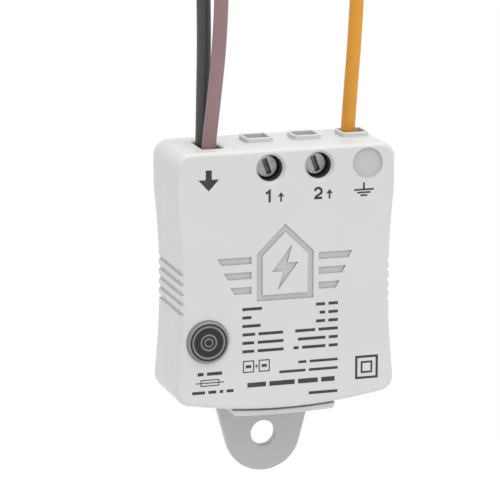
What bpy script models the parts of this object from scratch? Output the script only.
"""Pre-wired whole-house surge protector.

A flat plastic case stands upright: width along X, depth along Y, height along Z.
The front panel faces -Y and the flat back lies in the plane Y = 0, with the origin
at the middle of the back.  Two line leads and an earth lead rise from the top wall,
two screw terminals take the outgoing conductors, and a slotted ear carries the case.
All sizes are in metres.
"""

import math

import bmesh
import bpy
import numpy as np
from mathutils import Matrix, Vector

MM = 0.001

# Case
CASE_WIDTH = 48.0 * MM
CASE_HEIGHT = 56.0 * MM
CASE_DEPTH = 18.2 * MM
WALL = 1.6 * MM
FRONT_WALL = 1.8 * MM
TOP_CORNER_R = 3.3 * MM
BOTTOM_CORNER_R = 3.0 * MM
BOTTOM_BOW_R = 119.0 * MM
FRONT_EDGE_R = 1.0 * MM
REAR_EDGE_R = 1.1 * MM
WAIST = 1.0 * MM
WAIST_UPPER = (18.5 * MM, 4.0 * MM)
WAIST_LOWER = (-22.2 * MM, -8.5 * MM)
WAIST_POWER = 1.4
GAP = 0.3 * MM

# Grip grooves in both side walls
GROOVES = 5
GROOVE_TOP = 3.15 * MM
GROOVE_PITCH = 2.13 * MM
GROOVE_HEIGHT = 1.0 * MM
GROOVE_SLANT = 0.35 * MM
GROOVE_DEPTH = 0.6 * MM

# Four stations along the top: line input, two outputs, earth
PITCH = 10.65 * MM
OUT_1_X = -3.45 * MM
OUT_2_X = OUT_1_X + PITCH
EARTH_X = OUT_2_X + PITCH
INPUT_X = -14.7 * MM
SCREW_Z = 23.8 * MM
COLLAR_Y = -7.5 * MM
COLLAR_OUTER = 6.0 * MM
COLLAR_INNER = 4.8 * MM
COLLAR_RISE = 0.95 * MM
COLLAR_CORNER_R = 0.9 * MM
ENTRY_CORNER_R = 0.3 * MM
INPUT_SIZE = (4.5 * MM, 9.4 * MM)
INPUT_Y = -9.5 * MM
INPUT_CORNER_R = 0.4 * MM
ACCESS_R = 2.75 * MM
ACCESS_RIM_R = 3.2 * MM
ACCESS_LIP = 0.9 * MM
BLANK_DEPTH = 0.45 * MM

# Indicator
LENS_X = -17.25 * MM
LENS_Z = -12.25 * MM
LENS_HOLE_R = 4.55 * MM
LENS_RISE = 0.9 * MM
LENS_BAR = (2.4 * MM, 5.6 * MM)
LENS_BAR_T = 0.9 * MM

# Rolled rim of the lens, as (depth behind the crown, inset from the outer radius)
LENS_RIM = [(0.0 * MM, 0.8 * MM), (0.2 * MM, 0.3 * MM), (0.7 * MM, 0.0 * MM)]

# Lamp behind the lens, and the spacer that holds it off the board
LAMP_TIP = -13.6 * MM
LAMP_R = 2.5 * MM
LAMP_FLANGE_R = 2.9 * MM
LAMP_FLANGE = (-7.6 * MM, -6.8 * MM)
SPACER_FRONT = -6.5 * MM
SPACER_R = 2.6 * MM

# Back cover, mounting ear and bottom tongue
COVER_T = 2.0 * MM
EAR_HOLE_Z = -38.0 * MM
EAR_HOLE_R = 2.8 * MM
EAR_END_R = 8.4 * MM
EAR_SLANT = math.radians(15.0)
EAR_ROOT = 3.2 * MM
TONGUE_FRONT = 1.4 * MM
TONGUE_DROP = 1.65 * MM
TONGUE_RISE = 0.3 * MM
NECK_NOTCH = 4.0 * MM

# Snap hooks of the cover, as (side, height), and their pockets in the side walls
HOOKS = [(side, z) for side in (-1, 1) for z in (12.0 * MM, -17.0 * MM)]
HOOK_HALF_H = 2.0 * MM
HOOK_T = 1.1 * MM
HOOK_REACH = 7.0 * MM
HOOK_NIB = 0.55 * MM
HOOK_NIB_START = 0.6 * MM
HOOK_NIB_END = 1.2 * MM
POCKET_END = 1.6 * MM

# Circuit board
BOARD_BACK = -2.8 * MM
BOARD_T = 1.6 * MM
BOARD_FRONT = BOARD_BACK - BOARD_T
BOARD_HALF_W = 19.6 * MM
BOARD_TOP = 25.4 * MM
BOARD_BOTTOM = -24.0 * MM

# Pillars in front of the board and studs behind it, as (x, z)
PILLARS = [
    (-18.2 * MM, 5.0 * MM), (18.6 * MM, -6.3 * MM),
    (-18.2 * MM, -21.6 * MM), (18.2 * MM, -21.6 * MM),
]
PILLAR_R = 1.4 * MM
STUD_R = 1.8 * MM

# Components on the board, as (x, z)
VARISTORS = [(-2.2 * MM, 5.6 * MM), (13.4 * MM, 3.6 * MM), (-2.2 * MM, -10.6 * MM)]
VARISTOR_R = 7.2 * MM
VARISTOR_HALF_T = 2.4 * MM
VARISTOR_Y = -9.2 * MM
VARISTOR_LEGS = 3.75 * MM
VARISTOR_LEG_HALF = 0.4 * MM
TUBE = (12.6 * MM, -9.0 * MM)
TUBE_HALF = 3.0 * MM
TUBE_R = 3.7 * MM
TUBE_CAP_R = 4.0 * MM
TUBE_CAP_T = 0.8 * MM
THERMAL_FUSES = [(9.6 * MM, -16.4 * MM), (9.6 * MM, -21.4 * MM)]
THERMAL_FUSE_SIZE = (9.0 * MM, 1.9 * MM)
RESISTOR = (-15.6 * MM, -2.2 * MM)
RESISTOR_SIZE = (6.4 * MM, 1.2 * MM)
DIODE = (-8.0 * MM, -21.6 * MM)
DIODE_SIZE = (4.6 * MM, 1.2 * MM)
AXIAL_LIFT = 0.6 * MM
AXIAL_BEND = 1.4 * MM
AXIAL_EDGE_SHARE = 0.35

# The upright part of an axial leg is a hair thinner than the level part, so no two faces meet flush
AXIAL_LEG_HALF = 0.35 * MM
AXIAL_DROP_HALF = 0.343 * MM

# Screw terminals
THREAD_R = 1.5 * MM
HEAD_R = 2.4 * MM
HEAD_T = 1.2 * MM
HEAD_RECESS = 3.0 * MM
HEAD_EDGE = 0.2 * MM
SCREW_POINT = 0.4 * MM
SLOT = (3.3 * MM, 1.0 * MM, 0.9 * MM)
SLOT_TILT = math.radians(-20.0)
CAGE_TRAVEL = 2.2 * MM
CAGE_WALL = 0.8 * MM
CAGE_NUT_T = 1.2 * MM
CAGE_HALF_W = 3.0 * MM
CAGE_HALF_H = 2.2 * MM
WIRE_SPACE = 3.4 * MM
BAR_T = 0.8 * MM
BAR_FRONT = COLLAR_Y - WIRE_SPACE / 2 - BAR_T
HOUSING_HALF_W = 4.3 * MM
HOUSING_WALL = 0.9 * MM
HOUSING_TOP = 26.1 * MM
HOUSING_BOTTOM = 15.5 * MM
HOUSING_FRONT = -14.9 * MM
SPOUT_R = 2.95 * MM
SPOUT_BORE_R = 2.65 * MM

# Leads
LEAD_R = 1.5 * MM
CORE_R = 0.7 * MM
BARE_LENGTH = 8.0 * MM
LEAD_STEP = 7.0 * MM
TAIL_DROP = 1.2 * MM
TAIL_BEND = 1.6 * MM
INPUT_GRIP = (-15.35 * MM, -14.4 * MM)
EARTH_GRIP = (16.8 * MM, -10.4 * MM)
GRIP_HALF_X = 2.9 * MM
GRIP_LOW = 17.5 * MM
GRIP_HIGH = 21.5 * MM


# ---------------------------------------------------------------- helpers

def clear_scene():
    for old in list(bpy.data.objects):
        bpy.data.objects.remove(old, do_unlink=True)


def material(name, colour, roughness, metallic=0.0):
    """A Principled material, made once per name."""
    found = bpy.data.materials.get(name)
    if found:
        return found
    made = bpy.data.materials.new(name)
    made.use_nodes = True
    shader = made.node_tree.nodes["Principled BSDF"]
    shader.inputs["Base Color"].default_value = (*colour, 1.0)
    shader.inputs["Roughness"].default_value = roughness
    shader.inputs["Metallic"].default_value = metallic
    return made


def add_object(name, bm, finish, location=(0.0, 0.0, 0.0)):
    """Turn a bmesh into a named object with its own material."""
    bmesh.ops.recalc_face_normals(bm, faces=bm.faces)
    mesh = bpy.data.meshes.new(name)
    bm.to_mesh(mesh)
    bm.free()
    mesh.materials.append(finish)
    mesh.shade_smooth()
    mesh.set_sharp_from_angle(angle=math.radians(35.0))
    made = bpy.data.objects.new(name, mesh)
    made.location = location
    bpy.context.scene.collection.objects.link(made)
    return made


def add_box(bm, low, high):
    """A closed box between two corners."""
    low = Vector(low)
    high = Vector(high)
    size = high - low
    place = Matrix.Translation((low + high) / 2) @ Matrix.Diagonal((*size, 1.0))
    bmesh.ops.create_cube(bm, size=1.0, matrix=place)


def add_loft(bm, rings):
    """A closed body through rings that have the same number of points."""
    loops = [[bm.verts.new(point) for point in ring] for ring in rings]
    count = len(loops[0])
    for near, far in zip(loops, loops[1:]):
        for i in range(count):
            j = (i + 1) % count
            bm.faces.new((near[i], near[j], far[j], far[i]))
    bm.faces.new(list(reversed(loops[0])))
    bm.faces.new(loops[-1])


def circle(radius, x, z, y, segments):
    """A ring of points round an axis that runs along Y."""
    turns = [2 * math.pi * i / segments for i in range(segments)]
    return [(x + radius * math.cos(a), y, z + radius * math.sin(a)) for a in turns]


def add_turned_y(bm, x, z, profile, segments=32):
    """A solid turned about an axis along Y; profile is (y, radius) pairs."""
    add_loft(bm, [circle(radius, x, z, y, segments) for y, radius in profile])


def add_turned(bm, centre, axis, profile, segments=24):
    """A solid turned about any axis; profile is (distance, radius) pairs."""
    turn = Vector(axis).to_track_quat("Z", "Y").to_matrix().to_4x4()
    place = Matrix.Translation(centre) @ turn
    rings = []
    for along, radius in profile:
        ring = circle(radius, 0.0, 0.0, 0.0, segments)
        rings.append([place @ Vector((p[0], p[2], along)) for p in ring])
    add_loft(bm, rings)


def rounded_rect(half_x, half_y, radius, steps=3):
    """Corner-rounded rectangle as (x, y) points."""
    points = []
    for quarter, (sx, sy) in enumerate(((1, 1), (-1, 1), (-1, -1), (1, -1))):
        for step in range(steps + 1):
            a = math.pi / 2 * (quarter + step / steps)
            x = sx * (half_x - radius) + radius * math.cos(a)
            y = sy * (half_y - radius) + radius * math.sin(a)
            points.append((x, y))
    return points


def add_prism_z(bm, outline, x, y, low, high):
    """A closed prism along Z from an (x, y) outline."""
    add_loft(bm, [[(x + px, y + py, z) for px, py in outline] for z in (low, high)])


def add_cutter(name, bm):
    """A hidden body that only cuts."""
    bmesh.ops.recalc_face_normals(bm, faces=bm.faces)
    mesh = bpy.data.meshes.new(name)
    bm.to_mesh(mesh)
    bm.free()
    made = bpy.data.objects.new(name, mesh)
    made.hide_render = True
    made.display_type = "WIRE"
    bpy.context.scene.collection.objects.link(made)
    return made


def boolean(target, other, operation="DIFFERENCE"):
    """Cut or join target with a hidden body."""
    step = target.modifiers.new(other.name, "BOOLEAN")
    step.operation = operation
    step.solver = "EXACT"
    step.object = other


# ---------------------------------------------------------------- case outline

def waist_inset(z):
    """How far a side wall stands in from the full width at height z."""
    for outer, inner in (WAIST_UPPER, WAIST_LOWER):
        low, high = sorted((outer, inner))
        if low <= z <= high:
            share = (z - outer) / (inner - outer)
            return WAIST * (1.0 - (1.0 - share) ** WAIST_POWER)
    inside = WAIST_LOWER[1] < z < WAIST_UPPER[1]
    return WAIST if inside else 0.0


def side_heights():
    """Heights of the side wall's outline points, from top to bottom."""
    upper = np.linspace(*WAIST_UPPER, 6)
    lower = np.linspace(WAIST_LOWER[1], WAIST_LOWER[0], 6)
    return [float(z) for z in (*upper, *lower)]


def case_outline(inset=0.0, steps=5):
    """Front view of the case as (x, z) points, moved inwards by inset."""
    half = CASE_WIDTH / 2
    top = CASE_HEIGHT / 2
    bow_centre = BOTTOM_BOW_R - CASE_HEIGHT / 2
    corner_x = half - BOTTOM_CORNER_R
    bow_r = BOTTOM_BOW_R - BOTTOM_CORNER_R
    corner_z = bow_centre - math.sqrt(bow_r ** 2 - corner_x ** 2)
    lean = math.asin(corner_x / bow_r)

    right = []
    radius = TOP_CORNER_R - inset
    for step in range(steps + 1):
        a = math.pi / 2 * (1 - step / steps)
        x = half - TOP_CORNER_R + radius * math.cos(a)
        right.append((x, top - TOP_CORNER_R + radius * math.sin(a)))
    for z in side_heights():
        right.append((half - waist_inset(z) - inset, z))
    radius = BOTTOM_CORNER_R - inset
    for step in range(steps + 1):
        a = (math.pi / 2 - lean) * step / steps
        right.append((corner_x + radius * math.cos(a), corner_z - radius * math.sin(a)))
    radius = BOTTOM_BOW_R - inset
    for step in range(1, steps + 1):
        a = lean * (1 - step / steps)
        right.append((radius * math.sin(a), bow_centre - radius * math.cos(a)))
    left = [(-x, z) for x, z in reversed(right[:-1])]
    return right + left


def bow_z(x, offset=0.0):
    """Height of the bowed underside at x, lowered by offset."""
    radius = BOTTOM_BOW_R + offset
    return BOTTOM_BOW_R - CASE_HEIGHT / 2 - math.sqrt(radius ** 2 - x ** 2)


def case_ring(inset, y):
    return [(x, y, z) for x, z in case_outline(inset)]


# ---------------------------------------------------------------- case

def case_shell(bm):
    """The outer body of the case, with round front and back edges."""
    rings = []
    for step in range(4):
        a = math.pi / 2 * step / 3
        inset = FRONT_EDGE_R * (1 - math.sin(a))
        rings.append(case_ring(inset, -CASE_DEPTH + FRONT_EDGE_R * (1 - math.cos(a))))
    for step in range(4):
        a = math.pi / 2 * step / 3
        inset = REAR_EDGE_R * (1 - math.cos(a))
        rings.append(case_ring(inset, -REAR_EDGE_R * (1 - math.sin(a))))
    add_loft(bm, rings)


def groove_cutter():
    """Ten grip grooves, five in each side wall, open at the front and back."""
    bm = bmesh.new()
    floor = CASE_WIDTH / 2 - WAIST - GROOVE_DEPTH
    outside = CASE_WIDTH / 2 + GROOVE_DEPTH
    for side in (-1, 1):
        for index in range(GROOVES):
            top = GROOVE_TOP - index * GROOVE_PITCH
            low = top - GROOVE_HEIGHT
            section = [
                (floor, low), (outside, low),
                (outside, top + GROOVE_SLANT), (floor, top - GROOVE_SLANT),
            ]
            ends = (-CASE_DEPTH - GAP, GAP)
            add_loft(bm, [[(side * x, y, z) for x, z in section] for y in ends])
    return add_cutter("cut_grooves", bm)


def cavity_cutter():
    bm = bmesh.new()
    add_loft(bm, [case_ring(WALL, -CASE_DEPTH + FRONT_WALL), case_ring(WALL, GAP)])
    return add_cutter("cut_cavity", bm)


def collar_body(x):
    """One raised wire-entry collar that stands on the top wall."""
    bm = bmesh.new()
    half = COLLAR_OUTER / 2
    top = CASE_HEIGHT / 2
    outline = rounded_rect(half, half, COLLAR_CORNER_R)
    add_prism_z(bm, outline, x, COLLAR_Y, top - WALL / 2, top + COLLAR_RISE)
    return add_cutter("add_collar", bm)


def wire_entry_cutter():
    """The three square wire entries and the oblong line input."""
    bm = bmesh.new()
    top = CASE_HEIGHT / 2
    low = top - WALL - GAP
    high = top + COLLAR_RISE + GAP
    for x in (OUT_1_X, OUT_2_X, EARTH_X):
        half = COLLAR_INNER / 2
        add_prism_z(bm, rounded_rect(half, half, ENTRY_CORNER_R), x, COLLAR_Y, low, high)
    half_x, half_y = INPUT_SIZE[0] / 2, INPUT_SIZE[1] / 2
    outline = rounded_rect(half_x, half_y, INPUT_CORNER_R)
    add_prism_z(bm, outline, INPUT_X, INPUT_Y, low, high)
    return add_cutter("cut_wire_entries", bm)


def front_cutter():
    """Screwdriver holes, blank earth recess and indicator hole in the front wall."""
    bm = bmesh.new()
    face = -CASE_DEPTH
    inner = face + FRONT_WALL + GAP
    for x in (OUT_1_X, OUT_2_X):
        rim = (face - GAP, ACCESS_RIM_R + GAP * (ACCESS_RIM_R - ACCESS_R) / ACCESS_LIP)
        lip = (face + ACCESS_LIP, ACCESS_R)
        step = (face + ACCESS_LIP, SPOUT_R + GAP)
        end = (HOUSING_FRONT + HOUSING_WALL + GAP, SPOUT_R + GAP)
        add_turned_y(bm, x, SCREW_Z, [rim, lip, step, end])
    blank = [(face - GAP, ACCESS_RIM_R), (face + BLANK_DEPTH, ACCESS_RIM_R)]
    add_turned_y(bm, EARTH_X, SCREW_Z, blank)
    add_turned_y(bm, LENS_X, LENS_Z, [(face - GAP, LENS_HOLE_R), (inner, LENS_HOLE_R)], 40)
    return add_cutter("cut_front", bm)


def neck_cutter():
    """The notch in the bottom wall that the neck of the ear passes through."""
    bm = bmesh.new()
    bottom = -CASE_HEIGHT / 2
    half = ear_half_width(bottom) + 2 * GAP
    add_box(bm, (-half, -COVER_T - GAP, bottom - GAP), (half, GAP, bottom + NECK_NOTCH))
    return add_cutter("cut_neck", bm)


def hook_outer(z):
    """Outer face of a cover hook, just clear of the side wall over the hook's whole height."""
    inset = max(waist_inset(z - HOOK_HALF_H), waist_inset(z + HOOK_HALF_H))
    return CASE_WIDTH / 2 - inset - WALL - GAP


def hook_pocket_cutter():
    """Pockets in the side walls that the hooks of the back cover snap into."""
    bm = bmesh.new()
    for side, z in HOOKS:
        face = hook_outer(z)
        near = side * (face - GAP)
        far = side * (face + HOOK_NIB + GAP)
        low = (min(near, far), -HOOK_REACH - GAP, z - HOOK_HALF_H - GAP)
        high = (max(near, far), -HOOK_REACH + POCKET_END, z + HOOK_HALF_H + GAP)
        add_box(bm, low, high)
    return add_cutter("cut_hook_pockets", bm)


def pillar_bodies():
    """Four pillars that hold the board down from the front wall."""
    bodies = []
    for x, z in PILLARS:
        bm = bmesh.new()
        root = -CASE_DEPTH + FRONT_WALL / 2
        add_turned_y(bm, x, z, [(root, PILLAR_R), (BOARD_FRONT - GAP, PILLAR_R)], 12)
        bodies.append(add_cutter("add_pillar", bm))
    return bodies


def make_front_casing():
    bm = bmesh.new()
    case_shell(bm)
    casing = add_object("front_casing", bm, material("case_plastic", (0.62, 0.62, 0.60), 0.45))
    boolean(casing, cavity_cutter())
    for x in (OUT_1_X, OUT_2_X, EARTH_X):
        boolean(casing, collar_body(x), "UNION")
    for body in pillar_bodies():
        boolean(casing, body, "UNION")
    boolean(casing, neck_cutter())
    boolean(casing, hook_pocket_cutter())
    boolean(casing, groove_cutter())
    boolean(casing, wire_entry_cutter())
    boolean(casing, front_cutter())


# ---------------------------------------------------------------- back cover

def ear_half_width(z):
    """Half width of the tapered ear at height z, above its round end."""
    side_x = EAR_END_R * math.cos(EAR_SLANT)
    side_z = EAR_HOLE_Z - EAR_END_R * math.sin(EAR_SLANT)
    return side_x + (z - side_z) * math.tan(EAR_SLANT)


def ear_outline(steps=14):
    """Outline of the ear as (x, z) points; its top end is hidden in the cover."""
    top = -CASE_HEIGHT / 2 + EAR_ROOT
    half = ear_half_width(-CASE_HEIGHT / 2)
    points = [(half, top), (half, -CASE_HEIGHT / 2)]
    for step in range(steps + 1):
        a = -EAR_SLANT - (math.pi - 2 * EAR_SLANT) * step / steps
        points.append((EAR_END_R * math.cos(a), EAR_HOLE_Z + EAR_END_R * math.sin(a)))
    points += [(-half, -CASE_HEIGHT / 2), (-half, top)]
    return points


def ear_body():
    bm = bmesh.new()
    add_loft(bm, [[(x, y, z) for x, z in ear_outline()] for y in (-COVER_T, 0.0)])
    return add_cutter("add_ear", bm)


def tongue_body():
    """The tongue that runs forward from the ear under the bowed bottom wall."""
    bm = bmesh.new()
    half = ear_half_width(-CASE_HEIGHT / 2)
    lower_half = ear_half_width(-CASE_HEIGHT / 2 - TONGUE_DROP)
    section = []
    for step in range(9):
        x = half * (1 - step / 4)
        section.append((x, bow_z(x, GAP)))
    for step in range(9):
        share = step / 4 - 1
        z = -CASE_HEIGHT / 2 - TONGUE_DROP + TONGUE_RISE * share ** 2
        section.append((lower_half * share, z))
    ends = (-CASE_DEPTH + TONGUE_FRONT, -COVER_T / 2)
    add_loft(bm, [[(x, y, z) for x, z in section] for y in ends])
    return add_cutter("add_tongue", bm)


def hook_body(side, z):
    """One snap hook that reaches forward from the cover along the side wall."""
    face = hook_outer(z)
    root = -COVER_T / 2
    plan = [
        (face - HOOK_T, root), (face - HOOK_T, -HOOK_REACH), (face, -HOOK_REACH),
        (face + HOOK_NIB, -HOOK_REACH + HOOK_NIB_START),
        (face + HOOK_NIB, -HOOK_REACH + HOOK_NIB_END),
        (face, -HOOK_REACH + HOOK_NIB_END), (face, root),
    ]
    bm = bmesh.new()
    levels = (z - HOOK_HALF_H, z + HOOK_HALF_H)
    add_loft(bm, [[(side * x, y, level) for x, y in plan] for level in levels])
    return add_cutter("add_hook", bm)


def stud_body(x, z):
    """A short stud that the board rests on."""
    bm = bmesh.new()
    add_turned_y(bm, x, z, [(-COVER_T / 2, STUD_R), (BOARD_BACK + GAP, STUD_R)], 16)
    return add_cutter("add_stud", bm)


def make_rear_cover():
    bm = bmesh.new()
    add_loft(bm, [case_ring(WALL + GAP, -COVER_T), case_ring(WALL + GAP, 0.0)])
    cover = add_object("rear_cover", bm, material("cover_plastic", (0.50, 0.50, 0.49), 0.5))
    boolean(cover, ear_body(), "UNION")
    boolean(cover, tongue_body(), "UNION")
    for side, z in HOOKS:
        boolean(cover, hook_body(side, z), "UNION")
    for x, z in PILLARS:
        boolean(cover, stud_body(x, z), "UNION")
    bm = bmesh.new()
    add_turned_y(bm, 0.0, EAR_HOLE_Z, [(-COVER_T - GAP, EAR_HOLE_R), (GAP, EAR_HOLE_R)], 32)
    boolean(cover, add_cutter("cut_ear_hole", bm))


# ---------------------------------------------------------------- indicator

def make_indicator():
    """Raised ringed lens in the front wall, with the lamp and its spacer behind it."""
    radius = LENS_HOLE_R - GAP
    face = -CASE_DEPTH
    bm = bmesh.new()
    crown = face - LENS_RISE
    back = face + FRONT_WALL + GAP
    profile = [(crown + depth, radius - inset) for depth, inset in LENS_RIM]
    profile.append((back + LENS_BAR_T / 2, radius))
    add_turned_y(bm, LENS_X, LENS_Z, profile, 40)
    lens = add_object("indicator_lens", bm, material("lens_smoke", (0.09, 0.09, 0.09), 0.15))
    bm = bmesh.new()
    low = (LENS_X - LENS_BAR[0], back, LENS_Z - LENS_BAR[1])
    high = (LENS_X + LENS_BAR[0], back + LENS_BAR_T, LENS_Z + LENS_BAR[1])
    add_box(bm, low, high)
    boolean(lens, add_cutter("add_lens_bar", bm), "UNION")

    bm = bmesh.new()
    shoulder = LAMP_TIP + LAMP_R
    profile = []
    for step in range(1, 5):
        a = math.pi / 2 * step / 4
        profile.append((shoulder - LAMP_R * math.cos(a), LAMP_R * math.sin(a)))
    flange, rear = LAMP_FLANGE
    profile += [(flange, LAMP_R), (flange, LAMP_FLANGE_R), (rear, LAMP_FLANGE_R)]
    add_turned_y(bm, LENS_X, LENS_Z, profile, 24)
    add_object("status_lamp", bm, material("lamp_green", (0.10, 0.50, 0.16), 0.2))

    bm = bmesh.new()
    add_turned_y(bm, LENS_X, LENS_Z, [(SPACER_FRONT, SPACER_R), (BOARD_FRONT - GAP, SPACER_R)], 16)
    add_object("lamp_spacer", bm, material("black_plastic", (0.03, 0.03, 0.03), 0.5))


# ---------------------------------------------------------------- circuit board

def make_board():
    bm = bmesh.new()
    low = (-BOARD_HALF_W, BOARD_FRONT, BOARD_BOTTOM)
    high = (BOARD_HALF_W, BOARD_BACK, BOARD_TOP)
    add_box(bm, low, high)
    add_object("circuit_board", bm, material("board_green", (0.04, 0.22, 0.10), 0.4))


def make_varistor(index, x, z):
    """A coated varistor disc that lies flat over the board, with its two legs."""
    radius = VARISTOR_R
    half_t = VARISTOR_HALF_T
    y = VARISTOR_Y
    profile = []
    for step in range(5):
        a = math.pi / 2 * (step / 4)
        profile.append((y - half_t * math.cos(a), radius - half_t * (1 - math.sin(a))))
    for step in range(1, 5):
        a = math.pi / 2 * (1 - step / 4)
        profile.append((y + half_t * math.cos(a), radius - half_t * (1 - math.sin(a))))
    bm = bmesh.new()
    add_turned_y(bm, x, z, profile, 28)
    disc = add_object(f"varistor_{index}", bm, material("varistor_blue", (0.05, 0.16, 0.45), 0.45))
    for side in (-1, 1):
        bm = bmesh.new()
        leg = VARISTOR_LEG_HALF
        reach = x + side * VARISTOR_LEGS
        add_box(bm, (reach - leg, BOARD_FRONT - GAP, z - leg), (reach + leg, y, z + leg))
        boolean(disc, add_cutter("add_leg", bm), "UNION")


def make_discharge_tube(x, z):
    """Ceramic gas discharge tube with two metal end caps, axis along X."""
    inner = TUBE_HALF - TUBE_CAP_T
    profile = [
        (-TUBE_HALF, TUBE_CAP_R), (-inner, TUBE_CAP_R), (-inner, TUBE_R),
        (inner, TUBE_R), (inner, TUBE_CAP_R), (TUBE_HALF, TUBE_CAP_R),
    ]
    bm = bmesh.new()
    centre_y = BOARD_FRONT - GAP - TUBE_CAP_R
    add_turned(bm, (x, centre_y, z), (1, 0, 0), profile, 24)
    add_object("discharge_tube", bm, material("ceramic_white", (0.75, 0.73, 0.68), 0.4))


def make_axial(name, place, size, finish, segments=16):
    """An axial component that lies along X over the board, with bent legs."""
    x, z = place
    length, radius = size
    y = BOARD_FRONT - GAP - radius - AXIAL_LIFT
    half = length / 2
    edge = radius * AXIAL_EDGE_SHARE
    profile = [
        (-half, radius - edge), (-half + edge, radius),
        (half - edge, radius), (half, radius - edge),
    ]
    bm = bmesh.new()
    add_turned(bm, (x, y, z), (1, 0, 0), profile, segments)
    body = add_object(name, bm, finish)
    leg = AXIAL_LEG_HALF
    drop = AXIAL_DROP_HALF
    for side in (-1, 1):
        bend = x + side * (half + AXIAL_BEND)
        bm = bmesh.new()
        ends = sorted((x + side * (half - edge), bend + side * leg))
        add_box(bm, (ends[0], y - leg, z - leg), (ends[1], y + leg, z + leg))
        boolean(body, add_cutter("add_leg", bm), "UNION")
        bm = bmesh.new()
        add_box(bm, (bend - drop, y, z - drop), (bend + drop, BOARD_FRONT - GAP, z + drop))
        boolean(body, add_cutter("add_leg", bm), "UNION")


def make_components():
    make_board()
    for index, (x, z) in enumerate(VARISTORS, 1):
        make_varistor(index, x, z)
    make_discharge_tube(*TUBE)
    white = material("fuse_white", (0.70, 0.70, 0.68), 0.35)
    for index, place in enumerate(THERMAL_FUSES, 1):
        make_axial(f"thermal_fuse_{index}", place, THERMAL_FUSE_SIZE, white)
    tan = material("resistor_tan", (0.55, 0.42, 0.26), 0.5)
    make_axial("lamp_resistor", RESISTOR, RESISTOR_SIZE, tan, 12)
    black = material("diode_black", (0.04, 0.04, 0.04), 0.4)
    make_axial("lamp_diode", DIODE, DIODE_SIZE, black, 12)


# ---------------------------------------------------------------- screw terminals

def make_terminal_housing(index, x):
    """Black block open at the top and back, with a bore for the screwdriver.

    Its chamber is deep enough for the cage to travel forward and still clear the front wall.
    """
    half = HOUSING_HALF_W
    back = BOARD_FRONT - GAP
    bm = bmesh.new()
    add_box(bm, (x - half, HOUSING_FRONT, HOUSING_BOTTOM), (x + half, back, HOUSING_TOP))
    finish = material("terminal_black", (0.035, 0.035, 0.035), 0.5)
    housing = add_object(f"terminal_housing_{index}", bm, finish)
    bm = bmesh.new()
    spout_front = -CASE_DEPTH + ACCESS_LIP + GAP
    add_turned_y(bm, x, SCREW_Z, [(spout_front, SPOUT_R), (HOUSING_FRONT + HOUSING_WALL, SPOUT_R)])
    boolean(housing, add_cutter("add_spout", bm), "UNION")
    bm = bmesh.new()
    inner = half - HOUSING_WALL
    front = BAR_FRONT - CAGE_NUT_T - CAGE_TRAVEL - 2 * GAP
    low = (x - inner, front, HOUSING_BOTTOM + HOUSING_WALL)
    high = (x + inner, back + GAP, HOUSING_TOP + 3 * GAP)
    add_box(bm, low, high)
    boolean(housing, add_cutter("cut_chamber", bm))
    bm = bmesh.new()
    add_turned_y(bm, x, SCREW_Z, [(spout_front - GAP, SPOUT_BORE_R), (front + GAP, SPOUT_BORE_R)])
    boolean(housing, add_cutter("cut_bore", bm))


def make_terminal_screw(index, x):
    """Captive slotted screw that turns in place about Y; its origin is in its head."""
    tip = BAR_FRONT - GAP + CASE_DEPTH - HEAD_RECESS
    bm = bmesh.new()
    add_turned_y(bm, 0.0, 0.0, [
        (0.0, HEAD_R - HEAD_EDGE), (HEAD_EDGE, HEAD_R), (HEAD_T, HEAD_R),
        (HEAD_T, THREAD_R), (tip - SCREW_POINT, THREAD_R), (tip, THREAD_R - SCREW_POINT),
    ], 28)
    place = (x, -CASE_DEPTH + HEAD_RECESS, SCREW_Z)
    steel = material("screw_steel", (0.45, 0.46, 0.47), 0.35, 1.0)
    screw = add_object(f"terminal_screw_{index}", bm, steel, place)
    length, width, depth = SLOT
    bm = bmesh.new()
    add_box(bm, (-width / 2, -GAP, -length / 2), (width / 2, depth, length / 2))
    bmesh.ops.rotate(bm, verts=bm.verts, matrix=Matrix.Rotation(SLOT_TILT, 3, "Y"))
    cutter = add_cutter("cut_slot", bm)
    cutter.location = place
    boolean(screw, cutter)


def make_clamp_cage(index, x):
    """Cage that the screw pulls forward, shown fully open; its origin is in its nut wall."""
    nut_back = BAR_FRONT - GAP
    nut_front = nut_back - CAGE_NUT_T
    back_inner = COLLAR_Y + WIRE_SPACE / 2
    bm = bmesh.new()
    centre_y = (nut_front + nut_back) / 2
    low = (-CAGE_HALF_W, nut_front - centre_y, -CAGE_HALF_H)
    high = (CAGE_HALF_W, back_inner + CAGE_WALL - centre_y, CAGE_HALF_H)
    add_box(bm, low, high)
    place = (x, centre_y, SCREW_Z)
    zinc = material("cage_zinc", (0.60, 0.60, 0.58), 0.35, 1.0)
    cage = add_object(f"clamp_cage_{index}", bm, zinc, place)
    bm = bmesh.new()
    inner = CAGE_HALF_W - CAGE_WALL
    window_low = (-inner, nut_back - centre_y, -CAGE_HALF_H - GAP)
    window_high = (inner, back_inner - centre_y, CAGE_HALF_H + GAP)
    add_box(bm, window_low, window_high)
    window = add_cutter("cut_window", bm)
    window.location = place
    boolean(cage, window)
    bm = bmesh.new()
    add_turned_y(bm, 0.0, 0.0, [(-CAGE_NUT_T, THREAD_R + GAP), (CAGE_NUT_T, THREAD_R + GAP)], 24)
    thread = add_cutter("cut_thread", bm)
    thread.location = place
    boolean(cage, thread)


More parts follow.
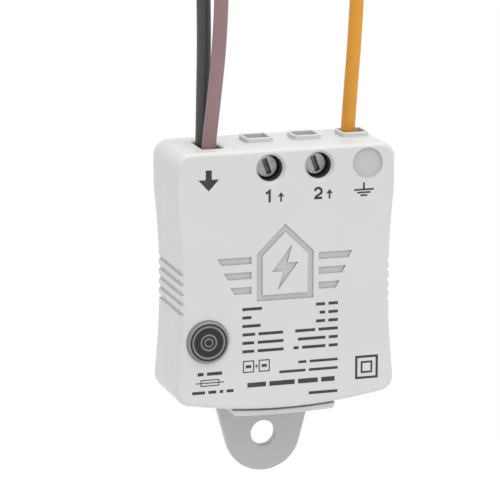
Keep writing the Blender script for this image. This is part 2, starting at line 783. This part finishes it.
def make_contact_bar(index, x):
    """Fixed copper bar in the cage window, with a foot that reaches the board."""
    half = CAGE_HALF_W - CAGE_WALL - GAP
    top = SCREW_Z + CAGE_HALF_H
    foot = HOUSING_BOTTOM + HOUSING_WALL + GAP
    back = BOARD_FRONT - GAP
    section = [
        (BAR_FRONT, top), (BAR_FRONT, foot), (back, foot),
        (back, foot + BAR_T), (BAR_FRONT + BAR_T, foot + BAR_T), (BAR_FRONT + BAR_T, top),
    ]
    bm = bmesh.new()
    add_loft(bm, [[(px, y, z) for y, z in section] for px in (x - half, x + half)])
    copper = material("bar_copper", (0.72, 0.45, 0.28), 0.3, 1.0)
    add_object(f"contact_bar_{index}", bm, copper)


def make_terminals():
    for index, x in enumerate((OUT_1_X, OUT_2_X), 1):
        make_terminal_housing(index, x)
        make_terminal_screw(index, x)
        make_clamp_cage(index, x)
        make_contact_bar(index, x)


# ---------------------------------------------------------------- leads

# Route points in millimetres, from the board up to the end of the insulation.
BLACK_ROUTE = [
    (-15.2, -7.3, 13.0), (-15.2, -7.3, 20.0), (-15.1, -7.3, 28.0), (-14.9, -7.3, 38.0),
    (-14.7, -7.3, 50.0), (-14.8, -7.2, 62.0), (-15.2, -6.8, 76.0), (-15.7, -6.2, 90.0),
    (-16.1, -5.6, 104.0), (-16.4, -5.0, 118.0),
]
BROWN_ROUTE = [
    (-15.6, -11.8, 8.5), (-15.5, -11.8, 19.0), (-15.05, -11.8, 28.0), (-13.9, -11.8, 38.0),
    (-12.8, -11.8, 48.5), (-12.2, -11.8, 60.0), (-12.1, -11.6, 74.0), (-12.5, -11.3, 89.0),
    (-12.9, -10.9, 104.0), (-13.1, -10.6, 117.5),
]
EARTH_ROUTE = [
    (17.2, -7.1, 13.0), (17.1, -7.1, 20.0), (17.15, -7.1, 28.5), (17.75, -7.1, 38.0),
    (18.5, -7.1, 48.5), (19.05, -7.1, 60.0), (19.2, -7.0, 74.0), (18.9, -6.8, 89.0),
    (18.4, -6.5, 104.0), (18.0, -6.2, 118.0),
]


def smooth_route(points, step):
    """Points a step apart on a Catmull-Rom curve through the route, in metres."""
    knots = [Vector(p) * MM for p in points]
    knots = [2 * knots[0] - knots[1], *knots, 2 * knots[-1] - knots[-2]]
    dense = []
    for a, b, c, d in zip(knots, knots[1:], knots[2:], knots[3:]):
        for i in range(20):
            t = i / 20
            dense.append(0.5 * (2 * b + (c - a) * t + (2 * a - 5 * b + 4 * c - d) * t * t
                                + (3 * b - a - 3 * c + d) * t * t * t))
    dense.append(knots[-2])
    lengths = [0.0]
    for a, b in zip(dense, dense[1:]):
        lengths.append(lengths[-1] + (b - a).length)
    count = max(2, round(lengths[-1] / step)) + 1
    wanted = np.linspace(0.0, lengths[-1], count)
    axes = [np.interp(wanted, lengths, [p[k] for p in dense]) for k in range(3)]
    return [Vector(p) for p in zip(*axes)]


def add_tube(name, points, radius, finish):
    """A solid round tube along a polyline, with filled ends."""
    curve = bpy.data.curves.new(name, "CURVE")
    curve.dimensions = "3D"
    curve.bevel_depth = radius
    curve.bevel_resolution = 2
    curve.use_fill_caps = True
    curve.materials.append(finish)
    spline = curve.splines.new("POLY")
    spline.points.add(len(points) - 1)
    for target, point in zip(spline.points, points):
        target.co = (*point, 1.0)
    made = bpy.data.objects.new(name, curve)
    bpy.context.scene.collection.objects.link(made)
    return made


def make_lead(colour, route, finish):
    """Insulated lead, its bare outer end and its soldered inner end."""
    points = smooth_route(route, LEAD_STEP)
    add_tube(f"{colour}_lead", points, LEAD_R, finish)
    copper = material("bare_copper", (0.80, 0.48, 0.30), 0.3, 1.0)

    heading = (points[-1] - points[-2]).normalized()
    start = points[-1] + heading * GAP
    add_tube(f"{colour}_lead_bare_end", [start, start + heading * BARE_LENGTH], CORE_R, copper)

    x, y, z = points[0]
    z -= GAP
    knee = z - TAIL_DROP
    tail = [Vector((x, y, z)), Vector((x, y, knee))]
    for step in range(1, 5):
        a = math.pi / 2 * step / 4
        down = TAIL_BEND * math.sin(a)
        tail.append(Vector((x, y + TAIL_BEND * (1 - math.cos(a)), knee - down)))
    tail.append(Vector((x, BOARD_FRONT - GAP, knee - TAIL_BEND)))
    add_tube(f"{colour}_lead_tail", tail, CORE_R, copper)


def make_lead_grip(name, place, routes):
    """Plastic block inside the case that holds the leads against a pull."""
    x, front = place
    low = (x - GRIP_HALF_X, front, GRIP_LOW)
    high = (x + GRIP_HALF_X, BOARD_FRONT - GAP, GRIP_HIGH)
    bm = bmesh.new()
    add_box(bm, low, high)
    grip = add_object(name, bm, material("grip_grey", (0.30, 0.30, 0.30), 0.5))
    for route in routes:
        centre = Vector(route[1]) * MM
        bm = bmesh.new()
        reach = GRIP_HIGH - GRIP_LOW
        bore_r = LEAD_R + 2 * GAP
        add_turned(bm, centre, (0, 0, 1), [(-reach, bore_r), (reach, bore_r)], 16)
        boolean(grip, add_cutter("cut_lead_bore", bm))


def make_leads():
    make_lead("black", BLACK_ROUTE, material("sheath_black", (0.06, 0.06, 0.06), 0.5))
    make_lead("brown", BROWN_ROUTE, material("sheath_brown", (0.30, 0.20, 0.20), 0.5))
    make_lead("orange", EARTH_ROUTE, material("sheath_orange", (0.70, 0.30, 0.05), 0.5))
    make_lead_grip("input_lead_grip", INPUT_GRIP, (BLACK_ROUTE, BROWN_ROUTE))
    make_lead_grip("earth_lead_grip", EARTH_GRIP, (EARTH_ROUTE,))


def main():
    clear_scene()
    make_front_casing()
    make_rear_cover()
    make_indicator()
    make_components()
    make_terminals()
    make_leads()


main()
